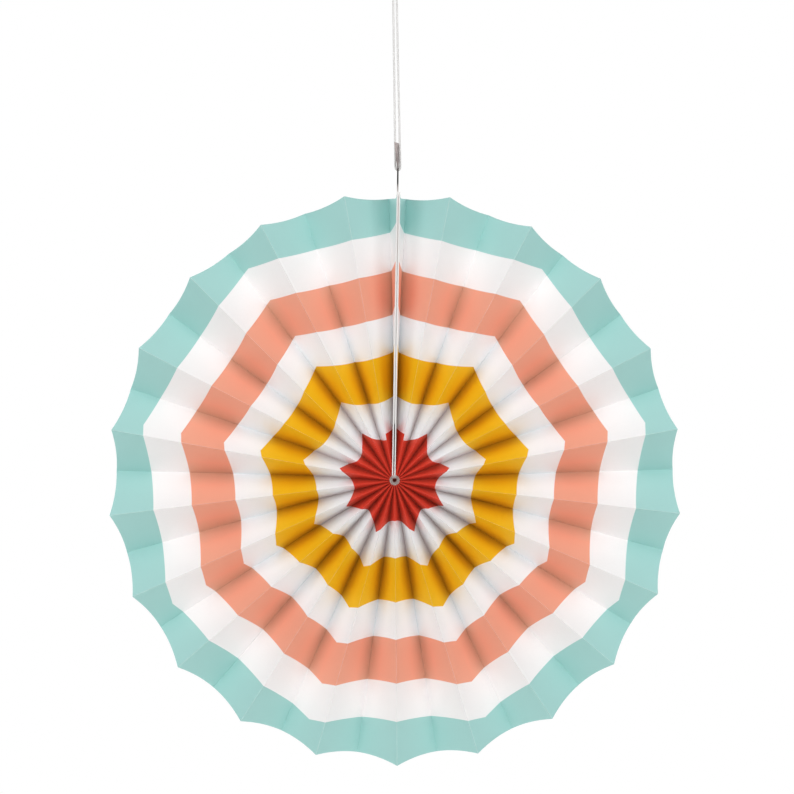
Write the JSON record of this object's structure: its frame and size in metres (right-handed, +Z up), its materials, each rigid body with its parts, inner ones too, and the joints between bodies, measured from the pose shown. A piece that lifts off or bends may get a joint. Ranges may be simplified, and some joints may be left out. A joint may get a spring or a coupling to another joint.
{
  "type": "paper fan rosette",
  "caption": "Round paper fan rosette: a printed strip folded into radial pleats and opened into a disc, with a card tab and a knotted cord to hang it by.",
  "frame": {"origin": "the point between the two strands of the cord, just under the knot, where a hook or pin holds the rosette up", "axes": "+Z up along the hanging cord, +Y from the printed front to the back along the disc's axis, +X to the right seen from the front"},
  "size_m": [0.2978, 0.03, 0.4232],
  "materials": {
    "printed_paper": "uncoated matt paper, printed on the front",
    "grey_card": "plain grey board",
    "cotton_cord": "twisted white cotton"
  },
  "bodies": {
    "root": {"pleated_paper": "printed_paper", "hanger_card": "grey_card", "hanging_cord": "cotton_cord", "cord_knot": "cotton_cord"}
  },
  "joints": []
}
